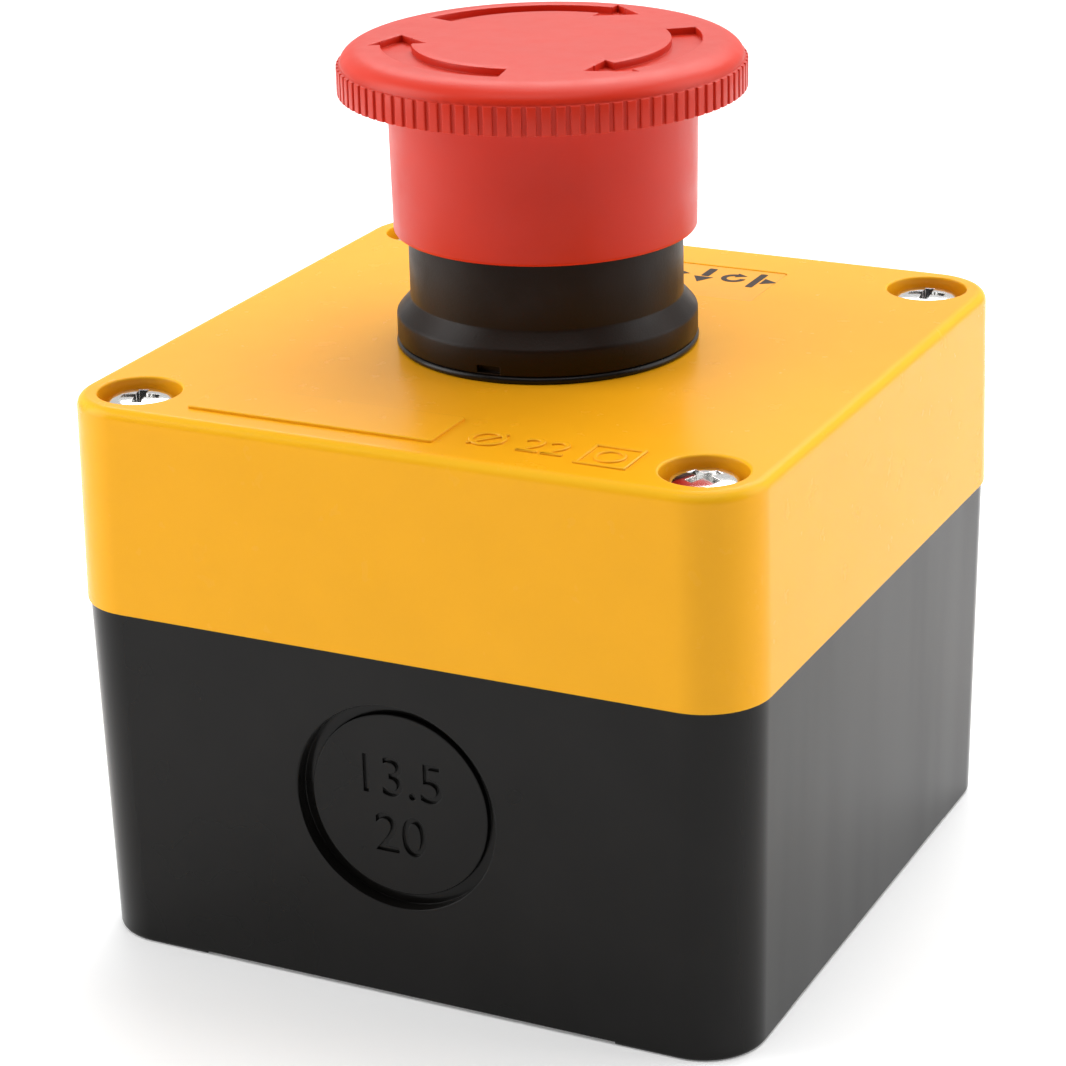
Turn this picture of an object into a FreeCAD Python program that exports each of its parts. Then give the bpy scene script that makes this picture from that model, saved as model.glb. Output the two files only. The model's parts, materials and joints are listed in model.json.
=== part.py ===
import FreeCAD, Part
import os
import re
import Sketcher

# Single emergency stop station: a moulded box with a yellow lid, and a 22 mm latching
# push button whose red mushroom head is twisted to release it. All lengths are in
# millimetres. +Z runs up along the button, the origin is the middle of the box's back,
# and the -Y wall carries the cable knock-out that faces the front.

SIZES = {
    # box
    "lid_side": 72.0,
    "lid_top_side": 71.4,
    "base_top_side": 71.5,
    "base_bottom_side": 70.6,
    "corner_radius": 6.6,
    "base_height": 36.0,
    "box_height": 57.0,
    "floor_thick": 3.0,
    "cavity_side": 66.6,
    "cavity_radius": 4.2,
    "lid_thick": 2.8,
    "lid_edge_round": 1.1,
    "tongue_side": 69.0,
    "tongue_height": 2.0,
    "rebate_side": 69.4,
    "rebate_height": 4.0,
    "foot_reach": 22.5,
    "foot_height": 0.4,
    # screws that hold the lid
    "screw_place": 29.5,
    "screw_radius": 1.7,
    "screw_head_radius": 3.2,
    "screw_head_height": 2.2,
    "screw_sink": 0.5,
    "screw_length": 32.0,
    "sink_radius": 4.15,
    "boss_radius": 4.6,
    "post_radius": 5.4,
    "post_end_radius": 3.5,
    # holes in the back for fixing the box to a wall
    "fixing_x": 54.0,
    "fixing_y": 34.0,
    "fixing_radius": 2.15,
    # cable knock-outs
    "knockout_height": 20.6,
    "knockout_radius": 10.4,
    "knockout_disc_radius": 9.45,
    "knockout_disc_depth": 1.05,
    "knockout_groove_depth": 1.7,
    # marks, raised plate and label space on the lid
    "plate_right": 3.6,
    "plate_front": -32.4,
    "plate_length": 26.0,
    "plate_width": 7.0,
    "plate_height": 0.3,
    "label_front": 18.5,
    "label_length": 28.6,
    "label_width": 10.7,
    "label_gap": 0.15,
    "label_thick": 0.3,
    "label_space_depth": 0.4,
    "mark_x": 20.4,
    "mark_y": -29.7,
    "mark_half": 2.6,
    "mark_line": 0.4,
    "mark_ring_radius": 1.55,
    "mark_height": 0.25,
    # collar and its fixings
    "panel_hole_radius": 11.15,
    "shank_radius": 10.95,
    "shank_end": 44.5,
    "seal_thick": 0.75,
    "flange_radius": 15.0,
    "flange_wall_top": 60.4,
    "flange_top": 61.9,
    "collar_radius": 13.6,
    "collar_top": 76.5,
    "collar_cup_radius": 11.6,
    "collar_cup_floor": 60.0,
    "collar_bore_radius": 8.6,
    "key_width": 2.9,
    "catch_height": 50.0,
    "catch_width": 2.4,
    "slot_left": -0.4,
    "slot_bottom": 57.9,
    "slot_width": 2.4,
    "slot_height": 0.8,
    "nut_radius": 14.6,
    "nut_height": 5.6,
    "nut_grip_width": 2.6,
    # pusher, spindle and springs
    "pusher_radius": 8.53,
    "pusher_end": 46.0,
    "pusher_top": 76.2,
    "pusher_rim": 2.2,
    "spindle_radius": 4.0,
    "spindle_gap": 0.06,
    "clip_thick": 0.7,
    "twist_room_radius": 7.6,
    "twist_room_floor": 66.0,
    "twist_coil_radius": 5.9,
    "twist_wire": 0.4,
    "return_coil_radius": 10.1,
    "return_wire": 0.5,
    "pin_height": 56.0,
    "pin_radius": 1.2,
    "pin_length": 3.6,
    # head
    "head_radius": 20.0,
    "head_root_radius": 19.65,
    "head_under": 82.6,
    "rib_height": 2.85,
    "rib_half": 0.42,
    "rib_count": 92,
    "dome_radius": 3.7,
    "dome_start": 85.5,
    "dome_flat_radius": 16.6,
    "head_top": 87.3,
    "skirt_end": 68.75,
    "skirt_end_radius": 15.0,
    "skirt_radius": 15.15,
    "skirt_bore_radius": 14.1,
    "arrow_depth": 0.7,
    # contact blocks
    "block_place": 6.1,
    "block_width": 11.0,
    "block_length": 34.0,
    "block_bottom": 12.5,
    "block_top": 40.5,
    "block_wall": 1.2,
    "peg_place": 14.0,
    "peg_radius": 1.5,
    "holder_side": 27.0,
    "holder_top": 44.2,
    "holder_ring_top": 48.4,
    "holder_way_radius": 9.2,
    "terminal_place": 13.0,
    "terminal_radius": 1.6,
    "terminal_head_radius": 3.0,
    "terminal_head_bottom": 12.9,
    "terminal_head_height": 2.3,
    "clamp_bottom": 15.3,
    "clamp_thick": 1.1,
    "clamp_half": 3.4,
    "strip_bottom": 16.6,
    "strip_thick": 1.0,
    "strip_half": 3.0,
    "strip_end": 15.6,
    "riser_place": 9.8,
    "tip_end": 6.5,
    "tip_place": 8.0,
    "tip_radius": 1.3,
    "nc_strip_top": 31.4,
    "no_strip_top": 23.4,
    "nc_bridge_bottom": 28.6,
    "no_bridge_bottom": 29.6,
    "bridge_half_length": 9.2,
    "bridge_half_width": 1.8,
    "bridge_thick": 0.6,
    "plunger_bottom": 22.0,
    "plunger_shoulder": 34.0,
    "plunger_top": 45.6,
    "plunger_half": 3.0,
    "stem_half_width": 2.0,
    "stem_half_length": 2.5,
    "block_coil_radius": 2.0,
    "block_wire": 0.3,
}

doc = FreeCAD.newDocument("emergency_stop_station")
sheet = doc.addObject("Spreadsheet::Sheet", "Sizes")
for row, (word, value) in enumerate(SIZES.items(), start=1):
    sheet.set("A%d" % row, word)
    sheet.set("B%d" % row, str(value))
    sheet.setAlias("B%d" % row, word)
doc.recompute()

parts = []
volumes = {}


def bound(text):
    """Expression with every size word pointed at the sheet."""
    return re.sub(r"[a-z_]+", lambda word: "Sizes." + word.group(0) if word.group(0) in SIZES
                  else word.group(0), text)


def number(text):
    """Value in millimetres of a size expression."""
    return float(sheet.evalExpression(bound(text)))


def new_part(label):
    """Empty body that becomes one named piece."""
    body = doc.addObject("PartDesign::Body", label)
    body.Label = label
    body.AllowCompound = True
    parts.append(body)
    return body


def sketch(body, plane, right="0", up="0", out="0"):
    """Sketch on one of the body's own planes, moved within the plane and out of it."""
    drawing = body.newObject("Sketcher::SketchObject", "outline")
    flat = [item for item in body.Origin.OriginFeatures if item.Role == plane + "_Plane"][0]
    drawing.AttachmentSupport = [(flat, "")]
    drawing.MapMode = "FlatFace"
    for axis, text in (("x", right), ("y", up), ("z", out)):
        if text != "0":
            drawing.setExpression("AttachmentOffset.Base." + axis, bound(text))
    doc.recompute()
    return drawing


def rule(drawing, kind, place, text):
    """Dimension in a sketch that follows a size expression."""
    index = drawing.addConstraint(Sketcher.Constraint(kind, *place, number(text)))
    drawing.setExpression("Constraints[%d]" % index, bound(text))


def pin(drawing, edge, end, x, y):
    """Hold one point of a sketch at two size expressions."""
    for kind, text, axis in (("DistanceX", x, -2), ("DistanceY", y, -1)):
        if abs(number(text)) < 1e-9:
            drawing.addConstraint(Sketcher.Constraint("PointOnObject", edge, end, axis))
        else:
            rule(drawing, kind, (-1, 1, edge, end), text)


def bend(start, end, radius, clockwise):
    """Arc of a given radius from one point to the next, the shorter way round."""
    chord = end - start
    rise = radius - (radius ** 2 - chord.Length ** 2 / 4) ** 0.5
    outward = FreeCAD.Vector(chord.y, -chord.x, 0).normalize()
    middle = (start + end) / 2 + outward * (-rise if clockwise else rise)
    return Part.Arc(start, middle, end)


def outline(drawing, points):
    """Closed outline through points (x, y). A point (x, y, radius, clockwise) starts an arc."""
    first = drawing.GeometryCount
    corners = [FreeCAD.Vector(number(point[0]), number(point[1]), 0) for point in points]
    count = len(points)
    ends = []
    for index, point in enumerate(points):
        start, end = corners[index], corners[(index + 1) % count]
        if len(point) == 2:
            drawing.addGeometry(Part.LineSegment(start, end), False)
            ends.append((1, 2))
        else:
            drawing.addGeometry(bend(start, end, number(point[2]), point[3]), False)
            # a sketch stores every arc anticlockwise, so a clockwise one starts at its far end
            ends.append((2, 1) if point[3] else (1, 2))
    for index in range(count):
        after = (index + 1) % count
        place = (first + index, ends[index][1], first + after, ends[after][0])
        drawing.addConstraint(Sketcher.Constraint("Coincident", *place))
    for index, point in enumerate(points):
        pin(drawing, first + index, ends[index][0], point[0], point[1])
        if len(point) > 2:
            rule(drawing, "Radius", (first + index,), point[2])


def box_outline(drawing, left, right, low, high):
    """Rectangle between four size expressions."""
    outline(drawing, [(left, low), (right, low), (right, high), (left, high)])


def circle(drawing, x, y, radius):
    """Circle about a pinned centre."""
    centre = FreeCAD.Vector(number(x), number(y), 0)
    index = drawing.addGeometry(Part.Circle(centre, FreeCAD.Vector(0, 0, 1), number(radius)), False)
    pin(drawing, index, 3, x, y)
    rule(drawing, "Radius", (index,), radius)


def rounded_square(drawing, side, radius):
    """Square about the sketch's origin with rounded corners."""
    half = number(side) / 2
    bend = number(radius)
    reach = half - bend
    first = drawing.GeometryCount
    turns = [(1, 1, 0), (-1, 1, 90), (-1, -1, 180), (1, -1, 270)]
    for x, y, start in turns:
        centre = FreeCAD.Vector(x * reach, y * reach, 0)
        ring = Part.Circle(centre, FreeCAD.Vector(0, 0, 1), bend)
        start_angle = FreeCAD.Units.Quantity("%d deg" % start).getValueAs("rad").Value
        end_angle = FreeCAD.Units.Quantity("%d deg" % (start + 90)).getValueAs("rad").Value
        drawing.addGeometry(Part.ArcOfCircle(ring, start_angle, end_angle), False)
    for corner in range(4):
        x, y, start = turns[corner]
        to_x, to_y, to_start = turns[(corner + 1) % 4]
        if corner % 2 == 0:
            ends = (FreeCAD.Vector(x * reach, y * half, 0), FreeCAD.Vector(to_x * reach, y * half, 0))
        else:
            ends = (FreeCAD.Vector(x * half, y * reach, 0), FreeCAD.Vector(x * half, to_y * reach, 0))
        drawing.addGeometry(Part.LineSegment(*ends), False)
    for corner in range(4):
        arc = first + corner
        side_edge = first + 4 + corner
        next_arc = first + (corner + 1) % 4
        drawing.addConstraint(Sketcher.Constraint("Tangent", arc, 2, side_edge, 1))
        drawing.addConstraint(Sketcher.Constraint("Tangent", side_edge, 2, next_arc, 1))
        direction = "Horizontal" if corner % 2 == 0 else "Vertical"
        drawing.addConstraint(Sketcher.Constraint(direction, side_edge))
    for corner in range(1, 4):
        drawing.addConstraint(Sketcher.Constraint("Equal", first, first + corner))
    pin(drawing, first, 3, "(%s) / 2 - (%s)" % (side, radius), "(%s) / 2 - (%s)" % (side, radius))
    pin(drawing, first + 2, 3, "(%s) - (%s) / 2" % (radius, side), "(%s) - (%s) / 2" % (radius, side))
    rule(drawing, "Radius", (first,), radius)


def finish(body, feature, grows):
    """Recompute and make sure that the feature added or removed material as meant."""
    body.Tip = feature
    doc.recompute()
    before = volumes.get(body.Label, 0.0)
    after = feature.Shape.Volume
    changed = after > before + 1e-6 if grows else after < before - 1e-6
    if not changed or not feature.Shape.isValid():
        raise ValueError("%s in %s came out wrong" % (feature.Name, body.Label))
    volumes[body.Label] = after
    return feature


def pad(body, drawing, length, back=False):
    """Push a sketch out into a solid."""
    feature = body.newObject("PartDesign::Pad", "pad")
    feature.Profile = drawing
    feature.setExpression("Length", bound(length))
    feature.Reversed = back
    return finish(body, feature, True)


def pocket(body, drawing, length, back=False):
    """Cut a sketch into the body."""
    feature = body.newObject("PartDesign::Pocket", "pocket")
    feature.Profile = drawing
    feature.setExpression("Length", bound(length))
    feature.Reversed = back
    return finish(body, feature, False)


def turned(body, drawing, groove=False):
    """Turn a sketch a full circle about its own upright axis."""
    kind = "PartDesign::Groove" if groove else "PartDesign::Revolution"
    feature = body.newObject(kind, "turned")
    feature.Profile = drawing
    feature.ReferenceAxis = (drawing, ["V_Axis"])
    feature.Angle = 360
    return finish(body, feature, not groove)


def around(body, features, count, grows):
    """Repeat features evenly around the Z axis."""
    upright = [item for item in body.Origin.OriginFeatures if item.Role == "Z_Axis"][0]
    pattern = body.newObject("PartDesign::PolarPattern", "pattern")
    pattern.Originals = features
    pattern.Axis = (upright, [""])
    pattern.Angle = 360
    pattern.setExpression("Occurrences", bound(count))
    return finish(body, pattern, grows)


def mirrored(body, features, grows=True):
    """Repeat features on the other side of the XZ plane."""
    middle = [item for item in body.Origin.OriginFeatures if item.Role == "XZ_Plane"][0]
    mirror = body.newObject("PartDesign::Mirrored", "mirror")
    mirror.Originals = features
    mirror.MirrorPlane = (middle, [""])
    return finish(body, mirror, grows)


def rounded(body, feature, height, radius):
    """Round the outer edges that lie at one height."""
    names = []
    for index, edge in enumerate(feature.Shape.Edges, start=1):
        limits = edge.BoundBox
        if abs(limits.ZMin - height) < 1e-4 and abs(limits.ZMax - height) < 1e-4:
            names.append("Edge%d" % index)
    fillet = body.newObject("PartDesign::Fillet", "round")
    fillet.Base = (feature, names)
    fillet.setExpression("Radius", bound(radius))
    return finish(body, fillet, False)


def prism(body, low_side, low_height, high_side, high_height):
    """Drafted block with rounded upright corners."""
    foot = sketch(body, "XY", out=low_height)
    rounded_square(foot, low_side, "corner_radius")
    block = body.newObject("PartDesign::Pad", "block")
    block.Profile = foot
    rise = "(%s - %s)" % (high_height, low_height)
    block.setExpression("Length", bound(rise))
    block.setExpression("TaperAngle", bound("atan((%s - %s) / 2 / %s)" % (high_side, low_side, rise)))
    return finish(body, block, True)


def four_circles(drawing, x, y, radius):
    """The same circle in all four quarters."""
    for across in (x, "-(%s)" % x):
        for along in (y, "-(%s)" % y):
            circle(drawing, across, along, radius)


def coil(body, radius, wire, low, high, pitch, across="0"):
    """Round wire wound into a spring between two heights."""
    drawing = sketch(body, "XZ", right=across)
    circle(drawing, radius, "%s + %s" % (low, wire), wire)
    spring = body.newObject("PartDesign::AdditiveHelix", "coil")
    spring.Profile = drawing
    spring.ReferenceAxis = (drawing, ["V_Axis"])
    spring.Mode = 0
    spring.Pitch = pitch
    spring.setExpression("Height", bound("(%s) - (%s) - 2 * (%s)" % (high, low, wire)))
    return finish(body, spring, True)


def polar(distance, angle):
    """Sketch point at a distance and an angle in degrees, as size expressions."""
    spot = FreeCAD.Rotation(FreeCAD.Vector(0, 0, 1), angle).multVec(FreeCAD.Vector(distance, 0, 0))
    return "%.4f" % spot.x, "%.4f" % spot.y


# ---------------------------------------------------------------- box

base = new_part("base_shell")
prism(base, "base_bottom_side", "0", "base_top_side", "base_height")
cavity = sketch(base, "XY", out="base_height")
rounded_square(cavity, "cavity_side", "cavity_radius")
pocket(base, cavity, "base_height - floor_thick")
bosses = sketch(base, "XY", out="floor_thick - 1")
four_circles(bosses, "screw_place", "screw_place", "boss_radius")
pad(base, bosses, "base_height - floor_thick + 1")
tongue = sketch(base, "XY", out="base_height - 1")
rounded_square(tongue, "tongue_side", "cavity_radius + (tongue_side - cavity_side) / 2")
rounded_square(tongue, "cavity_side", "cavity_radius")
pad(base, tongue, "tongue_height + 1")
pilots = sketch(base, "XY", out="base_height + 1")
four_circles(pilots, "screw_place", "screw_place", "screw_radius + 0.05")
pocket(base, pilots, "base_height - floor_thick - 6")
fixings = sketch(base, "XY", out="floor_thick + 1")
four_circles(fixings, "fixing_x / 2", "fixing_y / 2", "fixing_radius")
pocket(base, fixings, "floor_thick + 2")
for reach in (("-foot_reach", "foot_reach", "-lid_side", "lid_side"),
              ("-lid_side", "lid_side", "-foot_reach", "foot_reach")):
    relief = sketch(base, "XY")
    box_outline(relief, *reach)
    pocket(base, relief, "foot_height", back=True)
for facing in (1, -1):
    # knock-out: a ring groove around a disc that lies below the wall's face
    ring = sketch(base, "XZ", up="knockout_height", out="%d * lid_side / 2" % facing)
    circle(ring, "0", "0", "knockout_radius")
    circle(ring, "0", "0", "knockout_disc_radius")
    pocket(base, ring, "knockout_groove_depth + (lid_side - base_top_side) / 2 + 0.2", back=facing < 0)
    disc = sketch(base, "XZ", up="knockout_height", out="%d * lid_side / 2" % facing)
    circle(disc, "0", "0", "knockout_disc_radius + 0.2")
    pocket(base, disc, "knockout_disc_depth + (lid_side - base_top_side) / 2 + 0.2", back=facing < 0)

lid = new_part("lid_shell")
lid_block = prism(lid, "lid_side", "base_height", "lid_top_side", "box_height")
rounded(lid, lid_block, SIZES["box_height"], "lid_edge_round")
hollow = sketch(lid, "XY", out="base_height")
rounded_square(hollow, "cavity_side + 0.4", "cavity_radius + 0.2")
pocket(lid, hollow, "box_height - base_height - lid_thick", back=True)
rebate = sketch(lid, "XY", out="base_height")
rounded_square(rebate, "rebate_side", "cavity_radius + (rebate_side - cavity_side) / 2")
pocket(lid, rebate, "rebate_height", back=True)
posts = sketch(lid, "XY", out="base_height + rebate_height")
four_circles(posts, "screw_place", "screw_place", "post_radius")
pad(lid, posts, "box_height - base_height - rebate_height - 1")
post_ends = sketch(lid, "XY", out="base_height")
four_circles(post_ends, "screw_place", "screw_place", "post_end_radius")
pad(lid, post_ends, "rebate_height + 1")
sinks = sketch(lid, "XY", out="box_height")
four_circles(sinks, "screw_place", "screw_place", "sink_radius")
pocket(lid, sinks, "screw_sink + screw_head_height")
holes = sketch(lid, "XY", out="box_height")
four_circles(holes, "screw_place", "screw_place", "screw_radius + 0.1")
pocket(lid, holes, "box_height - base_height + 1")
panel_hole = sketch(lid, "XY", out="box_height")
circle(panel_hole, "0", "0", "panel_hole_radius")
pocket(lid, panel_hole, "lid_thick + 1")
key_way = sketch(lid, "XY", out="box_height")
box_outline(key_way, "-key_width / 2 - 0.15", "key_width / 2 + 0.15",
            "panel_hole_radius - 1", "panel_hole_radius + 1.3")
pocket(lid, key_way, "lid_thick + 1")
plate = sketch(lid, "XY", out="box_height - 0.2")
box_outline(plate, "plate_right - plate_length", "plate_right", "plate_front", "plate_front + plate_width")
pad(lid, plate, "plate_height + 0.2")
label_space = sketch(lid, "XY", out="box_height")
box_outline(label_space, "-label_length / 2", "label_length / 2", "label_front", "label_front + label_width")
pocket(lid, label_space, "label_space_depth")
marks = sketch(lid, "XY", right="mark_x", up="mark_y", out="box_height - 0.2")
for half in ("mark_half", "mark_half - mark_line"):
    box_outline(marks, "-(%s)" % half, half, "-(%s)" % half, half)
pad(lid, marks, "mark_height + 0.2")
ring_mark = sketch(lid, "XY", right="mark_x", up="mark_y", out="box_height - 0.2")
circle(ring_mark, "0", "0", "mark_ring_radius")
circle(ring_mark, "0", "0", "mark_ring_radius - mark_line")
pad(lid, ring_mark, "mark_height + 0.2")

label = new_part("legend_label")
label_face = sketch(label, "XY", out="box_height - label_space_depth")
box_outline(label_face, "label_gap - label_length / 2", "label_length / 2 - label_gap",
            "label_front + label_gap", "label_front + label_width - label_gap")
pad(label, label_face, "label_thick")

gasket = new_part("lid_gasket")
gasket_ring = sketch(gasket, "XY", out="base_height + tongue_height")
rounded_square(gasket_ring, "rebate_side - 0.2", "cavity_radius + (rebate_side - 0.2 - cavity_side) / 2")
rounded_square(gasket_ring, "cavity_side + 0.2", "cavity_radius + 0.1")
pad(gasket, gasket_ring, "rebate_height - tongue_height")

lid_screws = new_part("lid_screws")
screw = sketch(lid_screws, "XZ", right="screw_place", up="box_height - screw_sink", out="screw_place")
outline(screw, [
    ("0", "0"),
    ("screw_head_radius * 0.7", "-0.06"),
    ("screw_head_radius * 0.93", "-0.22"),
    ("screw_head_radius", "-0.5"),
    ("screw_head_radius", "-screw_head_height"),
    ("screw_radius", "-screw_head_height"),
    ("screw_radius", "1 - screw_length"),
    ("0.4", "-screw_length"),
    ("0", "-screw_length"),
])
screw_turned = turned(lid_screws, screw)
cross = sketch(lid_screws, "XY", right="screw_place", up="-screw_place", out="box_height - screw_sink + 0.2")
outline(cross, [(x, y) for x, y in (
    ("0.4", "0.4"), ("0.4", "1.9"), ("-0.4", "1.9"), ("-0.4", "0.4"), ("-1.9", "0.4"), ("-1.9", "-0.4"),
    ("-0.4", "-0.4"), ("-0.4", "-1.9"), ("0.4", "-1.9"), ("0.4", "-0.4"), ("1.9", "-0.4"), ("1.9", "0.4"))])
cross_cut = pocket(lid_screws, cross, "1.5")
around(lid_screws, [screw_turned, cross_cut], "4", True)

# ---------------------------------------------------------------- collar in the lid

collar = new_part("collar")
collar_half = sketch(collar, "XZ")
outline(collar_half, [
    ("collar_bore_radius", "shank_end"),
    ("shank_radius", "shank_end"),
    ("shank_radius", "box_height + seal_thick"),
    ("flange_radius", "box_height + seal_thick"),
    ("flange_radius", "flange_wall_top"),
    ("collar_radius", "flange_top"),
    ("collar_radius", "collar_top"),
    ("collar_cup_radius", "collar_top"),
    ("collar_cup_radius", "collar_cup_floor"),
    ("collar_bore_radius", "collar_cup_floor"),
])
turned(collar, collar_half)
catch = sketch(collar, "XZ")
box_outline(catch, "collar_bore_radius - 0.5", "collar_bore_radius + 0.6", "catch_height",
            "catch_height + catch_width")
turned(collar, catch, groove=True)
key = sketch(collar, "XY", out="box_height - lid_thick")
box_outline(key, "-key_width / 2", "key_width / 2", "shank_radius - 1", "panel_hole_radius + 1.1")
pad(collar, key, "lid_thick + seal_thick + 0.5")
slot = sketch(collar, "XZ", out="flange_radius + 1")
box_outline(slot, "slot_left", "slot_left + slot_width", "slot_bottom", "slot_bottom + slot_height")
pocket(collar, slot, "1.7")

seal = new_part("collar_seal")
seal_half = sketch(seal, "XZ")
box_outline(seal_half, "panel_hole_radius + 1.45", "flange_radius - 0.05", "box_height",
            "box_height + seal_thick")
turned(seal, seal_half)

nut = new_part("lock_nut")
nut_ring = sketch(nut, "XY", out="box_height - lid_thick - nut_height")
circle(nut_ring, "0", "0", "nut_radius")
circle(nut_ring, "0", "0", "shank_radius + 0.05")
pad(nut, nut_ring, "nut_height")
grip = sketch(nut, "XY", out="box_height - lid_thick - 1.4")
box_outline(grip, "nut_radius - 1.2", "nut_radius + 1", "-nut_grip_width / 2", "nut_grip_width / 2")
grip_cut = pocket(nut, grip, "nut_height")
around(nut, [grip_cut], "12", False)

# ---------------------------------------------------------------- moving button parts

pusher = new_part("pusher_sleeve")
pusher_half = sketch(pusher, "XZ")
outline(pusher_half, [
    ("spindle_radius + 2", "pusher_end"),
    ("pusher_radius", "pusher_end"),
    ("pusher_radius", "pusher_top - pusher_rim"),
    ("collar_cup_radius - 0.3", "pusher_top - pusher_rim"),
    ("collar_cup_radius - 0.3", "pusher_top"),
    ("twist_room_radius", "pusher_top"),
    ("twist_room_radius", "twist_room_floor"),
    ("spindle_radius + spindle_gap", "twist_room_floor"),
    ("spindle_radius + spindle_gap", "pusher_end + 3"),
    ("spindle_radius + 2", "pusher_end + 3"),
])
turned(pusher, pusher_half)
pin_way = sketch(pusher, "XZ", out="pusher_radius + 1")
circle(pin_way, "0", "pin_height", "pin_radius + 0.05")
pocket(pusher, pin_way, "2 * pusher_radius + 2")

pins = new_part("latch_pins")
pin_face = sketch(pins, "XZ", out="pusher_radius - 0.08")
circle(pin_face, "0", "pin_height", "pin_radius")
one_pin = pad(pins, pin_face, "pin_length", back=True)
mirrored(pins, [one_pin])

return_spring = new_part("return_spring")
coil(return_spring, "return_coil_radius", "return_wire", "collar_cup_floor", "pusher_top - pusher_rim", 2.25)

twist_spring = new_part("twist_spring")
coil(twist_spring, "twist_coil_radius", "twist_wire", "twist_room_floor + 0.2", "pusher_top - 0.6", 1.35)

head = new_part("mushroom_head")
head_half = sketch(head, "XZ")
outline(head_half, [
    ("0", "head_under"),
    ("skirt_bore_radius", "head_under"),
    ("skirt_bore_radius", "skirt_end"),
    ("skirt_end_radius", "skirt_end"),
    ("skirt_radius", "head_under - 0.6"),
    ("skirt_radius + 0.6", "head_under"),
    ("head_root_radius", "head_under"),
    ("head_root_radius", "dome_start", "dome_radius", False),
    ("dome_flat_radius", "head_top - 0.1"),
    ("dome_flat_radius / 2", "head_top"),
    ("0", "head_top"),
])
turned(head, head_half)
rib = sketch(head, "XY", out="head_under")
outline(rib, [
    ("head_root_radius - 0.4", "-rib_half"),
    ("head_radius - 0.08", "-rib_half"),
    ("head_radius", "0.12 - rib_half"),
    ("head_radius", "rib_half - 0.12"),
    ("head_radius - 0.08", "rib_half"),
    ("head_root_radius - 0.4", "rib_half"),
])
one_rib = pad(head, rib, "rib_height")
around(head, [one_rib], "rib_count", True)
# curved arrow from its tail round to its tip, clockwise when seen from above
tail, barb, tip = -79.5, -151.5, -168.2
outer, inner = 15.6, 12.6
arrow = sketch(head, "XY", out="head_top + 0.5")
outline(arrow, [
    (*polar(outer, tail), str(outer), True),
    polar(outer, barb),
    (*polar(outer + 1.2, barb), str(outer), True),
    (*polar((outer + inner) / 2, tip), str(inner), False),
    polar(inner - 1.4, barb),
    (*polar(inner, barb), str(inner), False),
    polar(inner, tail),
])
one_arrow = pocket(head, arrow, "arrow_depth + 0.5")
around(head, [one_arrow], "3", False)

spindle = new_part("head_spindle")
spindle_half = sketch(spindle, "XZ")
groove_low = "pusher_end + 1.1"
groove_high = "pusher_end + 1.2 + clip_thick"
outline(spindle_half, [
    ("0", "pusher_end + 0.7"),
    ("spindle_radius - 0.5", "pusher_end + 0.7"),
    ("spindle_radius - 0.5", groove_low),
    ("spindle_radius - 0.8", groove_low),
    ("spindle_radius - 0.8", groove_high),
    ("spindle_radius", groove_high),
    ("spindle_radius", "head_under - 1.5"),
    ("spindle_radius * 2", "head_under - 1.5"),
    ("spindle_radius * 2", "head_under"),
    ("0", "head_under"),
])
turned(spindle, spindle_half)

clip = new_part("spindle_clip")
clip_ring = sketch(clip, "XY", out="pusher_end + 1.15")
circle(clip_ring, "0", "0", "spindle_radius + 1.5")
circle(clip_ring, "0", "0", "spindle_radius - 0.8")
pad(clip, clip_ring, "clip_thick")
clip_gap = sketch(clip, "XY", out="pusher_end + 1.2 + clip_thick")
box_outline(clip_gap, "0", "2 * spindle_radius", "-1.8", "1.8")
pocket(clip, clip_gap, "2 * clip_thick")

# ---------------------------------------------------------------- contact blocks

holder = new_part("contact_holder")
holder_plate = sketch(holder, "XY", out="block_top")
box_outline(holder_plate, "-holder_side / 2", "holder_side / 2",
            "-block_length / 2 - 1", "block_length / 2 + 1")
pad(holder, holder_plate, "holder_top - block_top")
socket = sketch(holder, "XY", out="holder_top - 1")
circle(socket, "0", "0", "shank_radius + 2.4")
pad(holder, socket, "holder_ring_top - holder_top + 1")
socket_bore = sketch(holder, "XY", out="holder_ring_top + 1")
circle(socket_bore, "0", "0", "shank_radius + 0.05")
pocket(holder, socket_bore, "holder_ring_top + 1 - holder_top")
way = sketch(holder, "XY", out="holder_ring_top")
circle(way, "0", "0", "holder_way_radius")
pocket(holder, way, "holder_ring_top - block_top + 1")
peg_holes = sketch(holder, "XY", out="holder_top + 1")
four_circles(peg_holes, "block_place", "peg_place", "peg_radius + 0.05")
pocket(holder, peg_holes, "holder_top - block_top + 2")


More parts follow.
